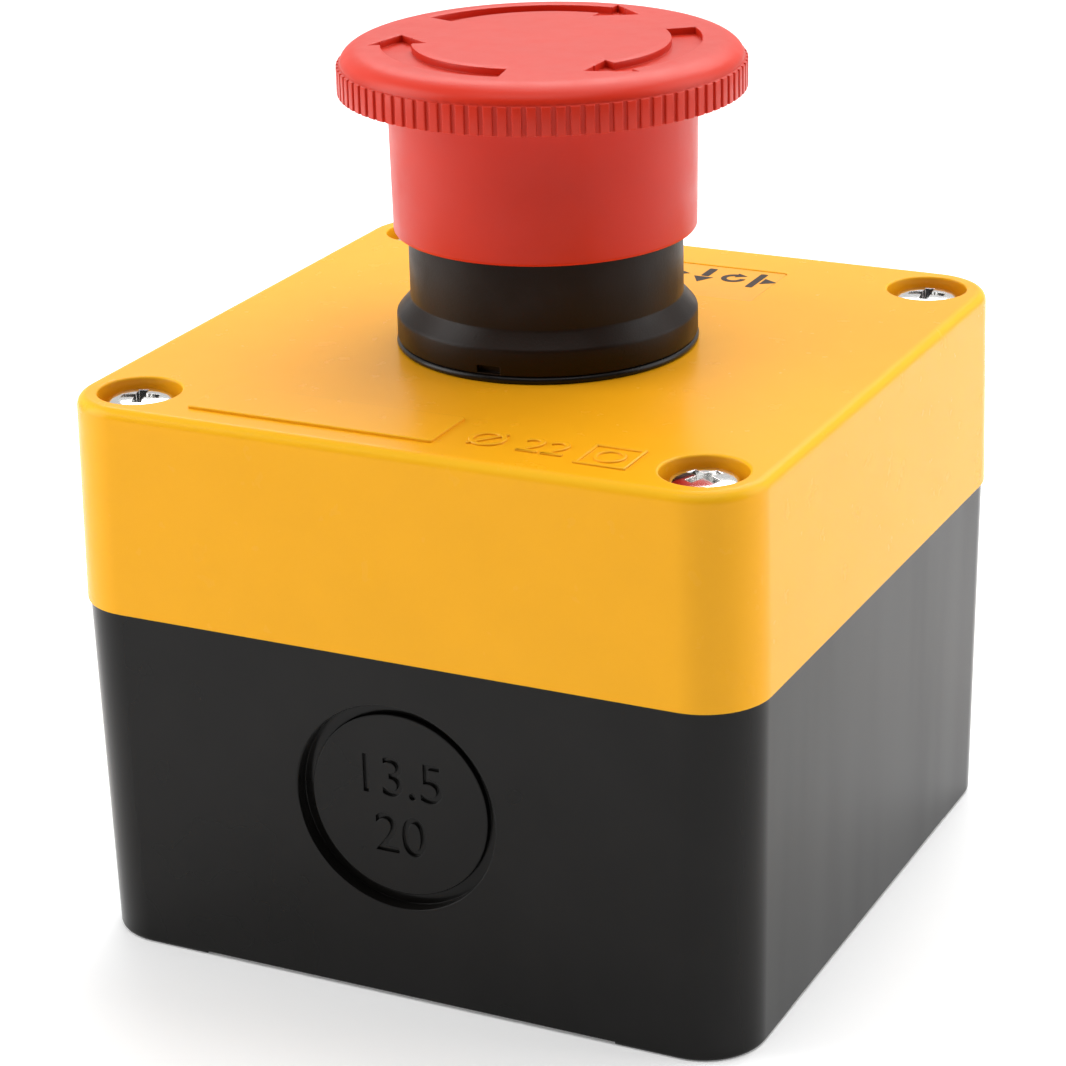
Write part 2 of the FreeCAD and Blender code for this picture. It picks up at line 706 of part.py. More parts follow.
def contact_block(name, side, tips_down):
    """One contact block: its case, fixed contacts, terminals, plunger, bridge and spring."""
    middle = "%d * block_place" % side
    open_face = "%d * (block_place + block_width / 2)" % side
    strip_top = name + "_strip_top"
    bridge_bottom = name + "_bridge_bottom"

    housing = new_part(name + "_housing")
    case = sketch(housing, "XY", right=middle, out="block_bottom")
    box_outline(case, "-block_width / 2", "block_width / 2", "-block_length / 2", "block_length / 2")
    pad(housing, case, "block_top - block_bottom")
    room = sketch(housing, "YZ", out="%s + %d" % (open_face, side))
    box_outline(room, "block_wall - block_length / 2", "block_length / 2 - block_wall",
                "block_bottom + block_wall", "block_top - block_wall")
    pocket(housing, room, "block_width - block_wall + 1", back=side < 0)
    stem_way = sketch(housing, "XY", right=middle, out="block_top + 1")
    box_outline(stem_way, "-stem_half_width - 0.3", "stem_half_width + 0.3",
                "-stem_half_length - 0.3", "stem_half_length + 0.3")
    pocket(housing, stem_way, "block_wall + 2")
    screw_ways = sketch(housing, "XY", out="block_bottom + block_wall + 1")
    for along in ("terminal_place", "-terminal_place"):
        circle(screw_ways, middle, along, "terminal_head_radius + 0.3")
    pocket(housing, screw_ways, "block_wall + 2")
    wire_ways = sketch(housing, "XZ", right=middle, out="block_length / 2 + 1")
    box_outline(wire_ways, "-2.6", "2.6", "strip_bottom - 2", "strip_bottom + 2.8")
    pocket(housing, wire_ways, "block_length + 2")
    pegs = sketch(housing, "XY", out="block_top - 0.5")
    for along in ("peg_place", "-peg_place"):
        circle(pegs, middle, along, "peg_radius")
    pad(housing, pegs, "3.5")

    contacts = new_part(name + "_contacts")
    strip = sketch(contacts, "YZ", out="%s - strip_half" % middle)
    outline(strip, [
        ("riser_place", "strip_bottom"),
        ("strip_end", "strip_bottom"),
        ("strip_end", "strip_bottom + strip_thick"),
        ("riser_place + strip_thick", "strip_bottom + strip_thick"),
        ("riser_place + strip_thick", strip_top),
        ("tip_end", strip_top),
        ("tip_end", strip_top + " - strip_thick"),
        ("riser_place", strip_top + " - strip_thick"),
    ])
    one_strip = pad(contacts, strip, "2 * strip_half")
    screw_hole = sketch(contacts, "XY", out="strip_bottom + 1.4 * strip_thick")
    circle(screw_hole, middle, "terminal_place", "terminal_radius + 0.1")
    hole_cut = pocket(contacts, screw_hole, "2 * strip_thick")
    tip_face = sketch(contacts, "XY", out=strip_top + (" - 1.5 * strip_thick" if tips_down else " - 0.2"))
    circle(tip_face, middle, "tip_place", "tip_radius")
    one_tip = pad(contacts, tip_face, "0.7")
    mirrored(contacts, [one_strip, hole_cut, one_tip])

    screws = new_part(name + "_terminal_screws")
    screw_half = sketch(screws, "XZ", right=middle, up="terminal_head_bottom", out="-terminal_place")
    outline(screw_half, [
        ("0", "0"),
        ("terminal_head_radius - 0.8", "0"),
        ("terminal_head_radius", "0.7"),
        ("terminal_head_radius", "terminal_head_height"),
        ("terminal_radius", "terminal_head_height"),
        ("terminal_radius", "plunger_bottom - terminal_head_bottom"),
        ("0", "plunger_bottom - terminal_head_bottom"),
    ])
    one_screw = turned(screws, screw_half)
    blade = sketch(screws, "XY", right=middle, up="terminal_place", out="terminal_head_bottom - 0.4")
    box_outline(blade, "-terminal_head_radius - 0.2", "terminal_head_radius + 0.2", "-0.35", "0.35")
    blade_cut = pocket(screws, blade, "1.3", back=True)
    mirrored(screws, [one_screw, blade_cut])

    clamps = new_part(name + "_clamps")
    clamp = sketch(clamps, "XY", right=middle, out="clamp_bottom")
    box_outline(clamp, "-clamp_half", "clamp_half", "riser_place + 0.2", "strip_end - 0.1")
    circle(clamp, "0", "terminal_place", "terminal_radius + 0.1")
    one_clamp = pad(clamps, clamp, "clamp_thick")
    mirrored(clamps, [one_clamp])

    plunger = new_part(name + "_plunger")
    lower = sketch(plunger, "XY", right=middle, out="plunger_bottom")
    box_outline(lower, "-plunger_half", "plunger_half", "-plunger_half", "plunger_half")
    pad(plunger, lower, "plunger_shoulder - plunger_bottom")
    stem = sketch(plunger, "XY", right=middle, out="plunger_shoulder - 1")
    box_outline(stem, "-stem_half_width", "stem_half_width", "-stem_half_length", "stem_half_length")
    pad(plunger, stem, "plunger_top - plunger_shoulder + 1")
    window = sketch(plunger, "XZ", right=middle, out="plunger_half + 1")
    box_outline(window, "-bridge_half_width - 0.1", "bridge_half_width + 0.1",
                "plunger_bottom + 5.4", "plunger_bottom + 10.4")
    pocket(plunger, window, "2 * plunger_half + 2")

    bridge = new_part(name + "_bridge")
    bar = sketch(bridge, "XY", right=middle, out=bridge_bottom)
    box_outline(bar, "-bridge_half_width", "bridge_half_width", "-bridge_half_length", "bridge_half_length")
    pad(bridge, bar, "bridge_thick")
    buttons = sketch(bridge, "XY", out=bridge_bottom + (" + 0.4" if tips_down else " - 0.4"))
    for along in ("tip_place", "-tip_place"):
        circle(buttons, middle, along, "tip_radius - 0.1")
    pad(bridge, buttons, "bridge_thick")

    block_spring = new_part(name + "_spring")
    coil(block_spring, "block_coil_radius", "block_wire", "block_bottom + block_wall", "plunger_bottom",
         1.5, across=middle)


# the block that opens when the button is pressed has its fixed contacts above the bridge
contact_block("nc", -1, True)
contact_block("no", 1, False)

# ---------------------------------------------------------------- check and write

doc.recompute()
for item in doc.Objects:
    if "Invalid" in item.State or "Error" in item.State:
        raise ValueError("%s did not compute" % item.Label)
os.makedirs("parts", exist_ok=True)
for body in parts:
    shape = body.Shape
    if shape.isNull() or not shape.isValid():
        raise ValueError("%s is not a sound solid" % body.Label)
    shape.exportStep("parts/%s.step" % body.Label)
    print("%-20s %8.1f mm3, %d solids" % (body.Label, shape.Volume, len(shape.Solids)))
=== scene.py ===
import json
import math

import bmesh
import bpy
from mathutils import Matrix, Vector


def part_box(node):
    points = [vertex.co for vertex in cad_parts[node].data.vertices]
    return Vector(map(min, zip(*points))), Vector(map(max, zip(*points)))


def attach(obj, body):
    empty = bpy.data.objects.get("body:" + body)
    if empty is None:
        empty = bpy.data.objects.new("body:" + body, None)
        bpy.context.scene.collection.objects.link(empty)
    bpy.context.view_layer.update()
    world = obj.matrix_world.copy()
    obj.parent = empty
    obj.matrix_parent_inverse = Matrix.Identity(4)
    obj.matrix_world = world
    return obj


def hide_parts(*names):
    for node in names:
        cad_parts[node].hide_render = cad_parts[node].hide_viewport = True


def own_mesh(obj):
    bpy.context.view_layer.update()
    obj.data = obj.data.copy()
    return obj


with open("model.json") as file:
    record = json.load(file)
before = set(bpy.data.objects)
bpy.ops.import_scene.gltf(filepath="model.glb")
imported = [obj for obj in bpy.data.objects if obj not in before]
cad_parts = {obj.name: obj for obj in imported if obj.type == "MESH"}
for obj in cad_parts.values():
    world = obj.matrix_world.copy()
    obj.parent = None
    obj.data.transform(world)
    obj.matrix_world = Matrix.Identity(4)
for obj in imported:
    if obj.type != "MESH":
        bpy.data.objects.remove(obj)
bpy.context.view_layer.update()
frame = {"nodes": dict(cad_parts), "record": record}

MM = 0.001

# Heights and sides that the frame gives, in millimetres
LID_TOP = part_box("collar_seal")[0].z / MM
LID_SIDE = 2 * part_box("lid_shell")[1].x / MM
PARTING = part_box("lid_shell")[0].z / MM
SEAL_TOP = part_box("collar_seal")[1].z / MM
COLLAR_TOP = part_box("collar")[1].z / MM
COLLAR_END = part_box("collar")[0].z / MM
FLANGE_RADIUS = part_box("collar")[1].x / MM
HEAD_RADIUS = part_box("mushroom_head")[1].x / MM
HEAD_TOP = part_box("mushroom_head")[1].z / MM
SKIRT_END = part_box("mushroom_head")[0].z / MM
TONGUE_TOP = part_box("base_shell")[1].z / MM
SCREW_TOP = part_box("lid_screws")[1].z / MM
SCREW_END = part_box("lid_screws")[0].z / MM
LABEL_LOW, LABEL_HIGH = (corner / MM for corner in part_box("legend_label"))
SCREW_REACH = 29.5
SCREW_PLACES = [(x, y) for x in (-SCREW_REACH, SCREW_REACH) for y in (-SCREW_REACH, SCREW_REACH)]


# ------------------------------------------------------------------ workshop

def clear():
    """Leaves edit mode with nothing selected."""
    if bpy.context.object is not None and bpy.context.object.mode != "OBJECT":
        bpy.ops.object.mode_set(mode="OBJECT")
    bpy.ops.object.select_all(action="DESELECT")


def take(piece):
    """Makes a piece the only one selected and the one in hand."""
    clear()
    piece.select_set(True)
    bpy.context.view_layer.objects.active = piece


def named(name):
    """Names the primitive just added and puts its place into its mesh."""
    piece = bpy.context.object
    piece.name = name
    piece.data.name = name
    bpy.ops.object.transform_apply(location=True, rotation=True, scale=True)
    return piece


def edit(piece, kind="FACE"):
    """Opens a piece in edit mode with nothing selected."""
    take(piece)
    bpy.ops.object.mode_set(mode="EDIT")
    bpy.ops.mesh.select_mode(type=kind)
    bpy.ops.mesh.select_all(action="DESELECT")


def pick_faces(piece, test):
    """Selects the faces whose middle, in millimetres, and normal pass a test."""
    bpy.ops.mesh.select_mode(type="FACE")
    bpy.ops.mesh.select_all(action="DESELECT")
    mesh = bmesh.from_edit_mesh(piece.data)
    for face in mesh.faces:
        if test(face.calc_center_median() / MM, face.normal):
            face.select_set(True)
    mesh.select_flush_mode()
    bmesh.update_edit_mesh(piece.data)


def pick_edges(piece, test):
    """Selects the edges whose two ends, in millimetres, pass a test."""
    bpy.ops.mesh.select_mode(type="EDGE")
    bpy.ops.mesh.select_all(action="DESELECT")
    mesh = bmesh.from_edit_mesh(piece.data)
    for edge in mesh.edges:
        if test(edge.verts[0].co / MM, edge.verts[1].co / MM, edge):
            edge.select_set(True)
    mesh.select_flush_mode()
    bmesh.update_edit_mesh(piece.data)


def close_up(piece):
    """Merges doubles and turns every face outwards."""
    edit(piece, "VERT")
    bpy.ops.mesh.select_all(action="SELECT")
    bpy.ops.mesh.remove_doubles(threshold=0.002 * MM)
    bpy.ops.mesh.normals_make_consistent(inside=False)
    clear()


def turned(name, outline, steps, closed=True, across=(0, 0)):
    """A turned piece: a circle drawn out ring by ring along an outline of (radius, height)."""
    clear()
    radius, height = outline[0]
    x, y = across
    bpy.ops.mesh.primitive_circle_add(vertices=steps, radius=radius * MM, fill_type="NOTHING",
                                      location=(x * MM, y * MM, height * MM))
    piece = named(name)
    edit(piece, "EDGE")
    bpy.ops.mesh.select_all(action="SELECT")
    if not closed:
        bpy.ops.mesh.edge_face_add()
        pick_edges(piece, lambda a, b, edge: True)
        bpy.ops.mesh.select_mode(type="EDGE")
    rest = outline[1:] + (outline[:1] if closed else [])
    for next_radius, next_height in rest:
        rise = (0, 0, (next_height - height) * MM)
        bpy.ops.mesh.extrude_edges_move(TRANSFORM_OT_translate={"value": rise})
        scale = next_radius / radius
        bpy.ops.transform.resize(value=(scale, scale, 1),
                                 center_override=(x * MM, y * MM, next_height * MM))
        radius, height = next_radius, next_height
    if not closed:
        bpy.ops.mesh.edge_face_add()
    close_up(piece)
    return piece


def block(name, low, high, corner=0.0, steps=6):
    """A block between two corners, its upright edges rounded."""
    clear()
    low, high = Vector(low), Vector(high)
    bpy.ops.mesh.primitive_cube_add(size=1, location=(low + high) / 2 * MM, scale=(high - low) * MM)
    piece = named(name)
    if corner:
        edit(piece)
        pick_edges(piece, lambda a, b, edge: abs(a.z - b.z) > 0.9 * (high.z - low.z))
        bpy.ops.mesh.bevel(offset=corner * MM, segments=steps, affect="EDGES")
        clear()
    return piece


def tapered_block(name, low_side, low, high_side, high, corner, steps):
    """A square block with rounded upright edges that changes side from bottom to top."""
    half = low_side / 2
    piece = block(name, (-half, -half, low), (half, half, high), corner, steps)
    edit(piece)
    pick_faces(piece, lambda middle, normal: middle.z > high - 0.01)
    scale = high_side / low_side
    bpy.ops.transform.resize(value=(scale, scale, 1), center_override=(0, 0, high * MM))
    clear()
    return piece


def joined(name, *pieces):
    """Several meshes put together as one piece."""
    take(pieces[0])
    for piece in pieces:
        piece.select_set(True)
    bpy.ops.object.join()
    bpy.context.object.name = name
    bpy.context.object.data.name = name
    return bpy.context.object


def copy_at(piece, x, y, angle):
    """A copy with its own mesh, turned about its own axis at the origin and moved across."""
    clear()
    other = piece.copy()
    other.data = piece.data.copy()
    bpy.context.scene.collection.objects.link(other)
    turn = Matrix.Rotation(math.radians(angle), 4, "Z")
    other.data.transform(Matrix.Translation((x * MM, y * MM, 0)) @ turn)
    return other


def combined(piece, operation, *tools):
    """Cuts tools out of a piece, or adds them to it, and removes them."""
    for tool in tools:
        take(piece)
        step = piece.modifiers.new("cut", "BOOLEAN")
        step.operation = operation
        step.solver = "EXACT"
        step.object = tool
        bpy.ops.object.modifier_apply(modifier=step.name)
        bpy.data.objects.remove(tool)
    return piece


def quarter(radius, height, across, up, steps=5, start=0, end=90):
    """Points of an arc round (radius, height), from one angle to another, with two half-axes."""
    points = []
    for i in range(steps + 1):
        angle = math.radians(start + (end - start) * i / steps)
        points.append((radius + across * math.cos(angle), height + up * math.sin(angle)))
    return points


def soft(piece, angle=32, flat=False):
    """Smooth shading that keeps the real corners, and keeps large flat faces flat where asked."""
    take(piece)
    bpy.ops.object.shade_smooth_by_angle(angle=math.radians(angle))
    if flat:
        even = piece.modifiers.new("even", "WEIGHTED_NORMAL")
        even.keep_sharp = True
        even.weight = 100
        bpy.ops.object.modifier_apply(modifier=even.name)
    clear()
    return piece


TYPE_SIZE = 1.38


def numerals(name, text, height, thick, corner=0.0):
    """Raised or cutting numerals of a height that lie on the XY plane, centred on the origin, as a mesh."""
    clear()
    bpy.ops.object.text_add(location=(0, 0, 0))
    letters = bpy.context.object
    letters.data.body = text
    letters.data.align_x = "CENTER"
    letters.data.align_y = "CENTER"
    letters.data.size = height * MM * TYPE_SIZE
    letters.data.extrude = thick / 2 * MM
    letters.data.bevel_depth = corner * MM
    letters.data.bevel_resolution = 2
    letters.data.offset = -corner * MM
    letters.data.resolution_u = 6
    bpy.ops.object.convert(target="MESH")
    return named(name)


def dress(piece, body, slot, *nodes, finish=None):
    """Puts a finished piece on its body, with its slot's finish or its own, in place of its CAD nodes."""
    piece.data.materials.clear()
    piece.data.materials.append(finishes[finish or slot])
    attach(piece, body)
    if nodes:
        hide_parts(*nodes)


# ------------------------------------------------------------------ finishes

def moulded(name, colour, rough, spread, grain, grain_size, shade, edge, edge_highlight,
            specular=0.5, streaks=0.0, metal=0.0, slope_highlight=0.0):
    """Moulded or metal surface: fine grain, slow changes of tone and gloss, corners painted paler as wear and
    as a painted highlight.

    Lengths are in millimetres: grain is its depth and edge the width of a corner painted paler.
    Streaks are upright changes of gloss, and the slope highlight setting paints faces that slope between
    level and upright paler, as a painted highlight.
    """
    material = bpy.data.materials.new(name)
    material.use_nodes = True
    nodes, links = material.node_tree.nodes, material.node_tree.links
    shader = nodes["Principled BSDF"]
    shader.inputs["Specular IOR Level"].default_value = specular
    shader.inputs["Metallic"].default_value = metal
    place = nodes.new("ShaderNodeTexCoord")

    def noise(size, detail=2.0, stretch=(1, 1, 1)):
        mapping = nodes.new("ShaderNodeMapping")
        mapping.inputs["Scale"].default_value = stretch
        links.new(place.outputs["Object"], mapping.inputs["Vector"])
        texture = nodes.new("ShaderNodeTexNoise")
        texture.inputs["Scale"].default_value = 1 / (size * MM)
        texture.inputs["Detail"].default_value = detail
        links.new(mapping.outputs["Vector"], texture.inputs["Vector"])
        return texture.outputs["Fac"]

    def fitted(value, low, high, new_low, new_high):
        step = nodes.new("ShaderNodeMapRange")
        for socket, number in zip(step.inputs[1:5], (low, high, new_low, new_high)):
            socket.default_value = number
        links.new(value, step.inputs["Value"])
        return step.outputs["Result"]

    def mixed(factor, first, second):
        step = nodes.new("ShaderNodeMix")
        step.data_type = "RGBA"
        links.new(factor, step.inputs[0])
        for socket, value in ((step.inputs[6], first), (step.inputs[7], second)):
            if isinstance(value, tuple):
                socket.default_value = (*value, 1)
            else:
                links.new(value, socket)
        return step.outputs[2]

    def worked(operation, first, second):
        step = nodes.new("ShaderNodeMath")
        step.operation = operation
        for socket, value in zip(step.inputs, (first, second)):
            if isinstance(value, (int, float)):
                socket.default_value = value
            else:
                links.new(value, socket)
        return step.outputs["Value"]

    # slow changes of tone
    dark = tuple(c * (1 - shade) for c in colour)
    light = tuple(min(c * (1 + shade), 1) for c in colour)
    tone = mixed(fitted(noise(9), 0.3, 0.7, 0, 1), dark, light)
    # painted highlight and wear: rounded corners are painted a little paler, as if they caught the light
    corner = nodes.new("ShaderNodeBevel")
    corner.samples = 4
    corner.inputs["Radius"].default_value = edge * MM
    true_face = nodes.new("ShaderNodeNewGeometry")
    likeness = nodes.new("ShaderNodeVectorMath")
    likeness.operation = "DOT_PRODUCT"
    links.new(corner.outputs["Normal"], likeness.inputs[0])
    links.new(true_face.outputs["Normal"], likeness.inputs[1])
    wear_and_highlight = fitted(likeness.outputs["Value"], 0.99, 0.75, 0, edge_highlight)
    paler = tuple(min(c * 1.25 + 0.02, 1) for c in colour)
    skin = mixed(wear_and_highlight, tone, paler)
    if slope_highlight:
        # painted highlight: faces that turn from level to upright are painted paler still, most at half way
        way = nodes.new("ShaderNodeSeparateXYZ")
        links.new(place.outputs["Normal"], way.inputs["Vector"])
        squared = worked("MULTIPLY", way.outputs["Z"], way.outputs["Z"])
        halfway = worked("MULTIPLY", squared, worked("SUBTRACT", 1.0, squared))
        palest = tuple(min(c * 1.4 + 0.01, 1) for c in colour)
        skin = mixed(worked("MULTIPLY", halfway, 4 * slope_highlight), skin, palest)
    links.new(skin, shader.inputs["Base Color"])
    # gloss
    if streaks:
        gloss = noise(6, 1.0, (1, 1, 0.10))
        spread = streaks
    else:
        gloss = noise(3, 4.0)
    links.new(fitted(gloss, 0.3, 0.7, rough - spread, rough + spread), shader.inputs["Roughness"])
    # grain
    bump = nodes.new("ShaderNodeBump")
    bump.inputs["Strength"].default_value = 1.0
    bump.inputs["Distance"].default_value = grain * MM
    links.new(noise(grain_size, 3.0), bump.inputs["Height"])
    links.new(corner.outputs["Normal"], bump.inputs["Normal"])
    links.new(bump.outputs["Normal"], shader.inputs["Normal"])
    return material


def drawn_metal(name, colour, rough, stretch):
    """Metal with fine lines along the way it was drawn, turned or brushed."""
    # its corners are painted paler, as wear and as a painted highlight
    material = moulded(name, colour, rough, 0.06, 0.004, 0.3, 0.05, 0.08, 0.4, metal=1.0)
    for node in material.node_tree.nodes:
        if node.type == "MAPPING":
            node.inputs["Scale"].default_value = stretch
    return material


# name, colour, roughness and its spread, grain depth and size, shade, width and strength of the corners
# painted paler (wear and painted highlight)
PLASTICS_AND_METALS = (
    # the yellow gets a painted highlight on faces that slope between level and upright
    ("yellow_plastic", (0.89, 0.41, 0.010), 0.25, 0.03, 0.0, 1.4, 0.015, 0.20, 0.9,
     {"specular": 0.14, "slope_highlight": 0.5}),
    ("black_plastic", (0.0065, 0.006, 0.0055), 0.19, 0.05, 0.0010, 1.2, 0.15, 0.15, 0.25,
     {"specular": 0.16, "streaks": 0.07}),
    # the red gets a painted highlight on faces that slope between level and upright
    ("red_plastic", (0.58, 0.023, 0.006), 0.38, 0.04, 0.005, 0.25, 0.02, 0.12, 1.0,
     {"specular": 0.27, "slope_highlight": 0.5}),
    ("label_film", (0.87, 0.38, 0.010), 0.32, 0.04, 0.0, 1.2, 0.02, 0.08, 0.3, {"specular": 0.2}),
    ("black_rubber", (0.008, 0.007, 0.007), 0.28, 0.06, 0.010, 0.3, 0.2, 0.1, 0.2, {"specular": 0.22}),
    ("zinc_steel", (0.80, 0.80, 0.79), 0.14, 0.05, 0.004, 0.5, 0.06, 0.10, 0.3, {"metal": 1.0}),
    ("white_plastic", (0.78, 0.77, 0.72), 0.42, 0.05, 0.012, 0.3, 0.03, 0.12, 0.4, {}),
    ("red_block_plastic", (0.55, 0.03, 0.02), 0.38, 0.05, 0.012, 0.3, 0.05, 0.12, 0.4, {}),
    ("green_block_plastic", (0.03, 0.30, 0.09), 0.38, 0.05, 0.012, 0.3, 0.05, 0.12, 0.4, {}),
    ("collar_plastic", (0.012, 0.006, 0.003), 0.38, 0.06, 0.014, 0.22, 0.25, 0.16, 1.0,
     {"specular": 0.15}),
    ("print_ink", (0.022, 0.010, 0.005), 0.42, 0.05, 0.004, 0.3, 0.2, 0.02, 0.2, {"specular": 0.15}),
)
finishes = {row[0]: moulded(*row[:-1], **row[-1]) for row in PLASTICS_AND_METALS}
# name, colour, roughness, and how the grain is stretched
for name, colour, rough, stretch in (
        ("spindle_steel", (0.56, 0.56, 0.55), 0.30, (1, 1, 14)),
        ("spring_steel", (0.60, 0.60, 0.58), 0.24, (1, 1, 3)),
        ("contact_brass", (0.78, 0.55, 0.24), 0.28, (1, 0.1, 1))):
    finishes[name] = drawn_metal(name, colour, rough, stretch)
part_slots = {part["node"]: part["material_slot"] for part in frame["record"]["subparts"]}
for node, carried in frame["nodes"].items():
    carried.data.materials.clear()
    carried.data.materials.append(finishes[part_slots[node]])

# ------------------------------------------------------------------ camera, floor and light

AIM = Vector((-1.8, -0.9, 36.0)) * MM
AZIMUTH, ELEVATION, ROLL = 26.35, 21.31, -1.45
DISTANCE = 334.4 * MM
SENSOR_WIDTH, FOCAL_LENGTH = 36.0, 110.25
BACKDROP_LIGHT, FRONT_LIGHT, FLOOR_GLOW = 0.70, 0.03, 0.15


def towards(azimuth, elevation):
    """Unit vector from the object to where a lamp or camera stands."""
    a, e = math.radians(azimuth), math.radians(elevation)
    return Vector((math.sin(a) * math.cos(e), -math.cos(a) * math.cos(e), math.sin(e)))


lens = bpy.data.cameras.new("camera")
lens.sensor_width = SENSOR_WIDTH
lens.lens = FOCAL_LENGTH
lens.clip_start, lens.clip_end = 0.01, 20
camera = bpy.data.objects.new("camera", lens)
bpy.context.scene.collection.objects.link(camera)
back = towards(AZIMUTH, ELEVATION)
level = Vector((0, 0, 1)).cross(back).normalized()
camera.matrix_world = (Matrix.Translation(AIM + back * DISTANCE)
                       @ Matrix((level, back.cross(level), back)).transposed().to_4x4()
                       @ Matrix.Rotation(math.radians(ROLL), 4, "Z"))
bpy.context.scene.camera = camera
bpy.context.scene.view_settings.view_transform = "Standard"
bpy.context.scene.view_settings.look = "None"


def soft_box(name, azimuth, elevation, distance, width, height, power):
    """A rectangular studio lamp that faces the middle of the object."""
    lamp = bpy.data.lights.new(name, "AREA")
    lamp.shape = "RECTANGLE"
    lamp.size, lamp.size_y = width, height
    lamp.energy = power
    thing = bpy.data.objects.new(name, lamp)
    bpy.context.scene.collection.objects.link(thing)
    aim = Vector((0, 0, 0.045))
    way = towards(azimuth, elevation)
    thing.location = aim + way * distance
    thing.rotation_mode = "QUATERNION"
    thing.rotation_quaternion = way.to_track_quat("Z", "Y")


soft_box("left_box", -62, 22, 0.62, 0.42, 0.55, 2.7)
soft_box("right_box", 116, 24, 0.62, 0.42, 0.55, 1.8)
soft_box("top_box", 172, 66, 0.75, 0.60, 0.45, 2.3)
soft_box("rear_box", 192, 42, 0.85, 0.9, 0.35, 3.2)
soft_box("front_top_box", 20, 70, 0.95, 0.9, 0.5, 2.9)

surroundings = bpy.data.worlds.new("surroundings")
bpy.context.scene.world = surroundings
surroundings.use_nodes = True
sky = surroundings.node_tree
sky.nodes["Background"].inputs["Color"].default_value = (1, 1, 1, 1)
direction = sky.nodes.new("ShaderNodeTexCoord")
facing_front = sky.nodes.new("ShaderNodeVectorMath")
facing_front.operation = "DOT_PRODUCT"
facing_front.inputs[1].default_value = towards(AZIMUTH, 15)
sky.links.new(direction.outputs["Generated"], facing_front.inputs[0])
falling = sky.nodes.new("ShaderNodeMapRange")
falling.interpolation_type = "SMOOTHSTEP"
for socket, number in zip(falling.inputs[1:5], (-0.35, 0.55, BACKDROP_LIGHT, FRONT_LIGHT)):
    socket.default_value = number
sky.links.new(facing_front.outputs["Value"], falling.inputs["Value"])
sky.links.new(falling.outputs["Result"], sky.nodes["Background"].inputs["Strength"])

clear()
bpy.ops.mesh.primitive_plane_add(size=6, location=(0, 0, 0))
floor = named("floor")
floor_paint = bpy.data.materials.new("floor_paint")
floor_paint.use_nodes = True
paint = floor_paint.node_tree.nodes["Principled BSDF"].inputs
paint["Base Color"].default_value = (0.98, 0.98, 0.98, 1)
paint["Roughness"].default_value = 0.9
paint["Emission Color"].default_value = (1, 1, 1, 1)
paint["Emission Strength"].default_value = FLOOR_GLOW
floor.data.materials.append(floor_paint)

# ------------------------------------------------------------------ lid

CORNER = 6.6
LID_TOP_SIDE = 71.4
LID_THICK = 2.8
LID_ROUND = 1.1
LID_FOOT_ROUND = 0.15
SCREW_HEAD_HEIGHT = 2.2
SINK_RADIUS, SINK_ROUND = 4.1, 0.25
SINK_FLOOR = SCREW_TOP - SCREW_HEAD_HEIGHT
INNER_SIDE, INNER_CORNER = 67.0, 4.4
REBATE_SIDE, REBATE_HEIGHT, REBATE_CORNER = 69.4, 4.0, 5.6
POST_RADIUS, POST_END_RADIUS = 5.4, 3.5
SCREW_BORE_RADIUS, PANEL_HOLE_RADIUS = 1.8, 11.15
KEY_WAY_HALF, KEY_WAY_REACH = 1.6, 12.45

lid = tapered_block("lid", LID_SIDE, PARTING, LID_TOP_SIDE, LID_TOP, CORNER, 14)
edit(lid)
pick_edges(lid, lambda a, b, edge: min(a.z, b.z) > LID_TOP - 0.01)
bpy.ops.mesh.bevel(offset=LID_ROUND * MM, segments=6, affect="EDGES")
pick_edges(lid, lambda a, b, edge: max(a.z, b.z) < PARTING + 0.01)
bpy.ops.mesh.bevel(offset=LID_FOOT_ROUND * MM, segments=2, affect="EDGES")
clear()
half = INNER_SIDE / 2
hollow = block("hollow", (-half, -half, PARTING - 2), (half, half, LID_TOP - LID_THICK), INNER_CORNER)
half = REBATE_SIDE / 2
rebate = block("rebate", (-half, -half, PARTING - 3), (half, half, PARTING + REBATE_HEIGHT), REBATE_CORNER)
combined(lid, "DIFFERENCE", hollow, rebate)
post_outline = [(POST_END_RADIUS, PARTING), (POST_END_RADIUS, PARTING + REBATE_HEIGHT),
                (POST_RADIUS, PARTING + REBATE_HEIGHT), (POST_RADIUS, LID_TOP - 1)]
combined(lid, "UNION", *[turned("post", post_outline, 48, False, place) for place in SCREW_PLACES])
sink_outline = [(SCREW_BORE_RADIUS, PARTING - 1), (SCREW_BORE_RADIUS, SINK_FLOOR),
                (SINK_RADIUS - 0.3, SINK_FLOOR), (SINK_RADIUS, SINK_FLOOR + 0.3)]
sink_outline += quarter(SINK_RADIUS + SINK_ROUND, LID_TOP - SINK_ROUND, -SINK_ROUND, SINK_ROUND + 0.002, 5)
sink_outline += [(SINK_RADIUS + SINK_ROUND, LID_TOP + 1)]
combined(lid, "DIFFERENCE", *[turned("sink", sink_outline, 64, False, place) for place in SCREW_PLACES])
panel_hole = turned("panel_hole", [(PANEL_HOLE_RADIUS, LID_TOP - 5), (PANEL_HOLE_RADIUS, LID_TOP + 1)],
                    96, False)
key_way = block("key_way", (-KEY_WAY_HALF, 10, LID_TOP - 5), (KEY_WAY_HALF, KEY_WAY_REACH, LID_TOP + 1))


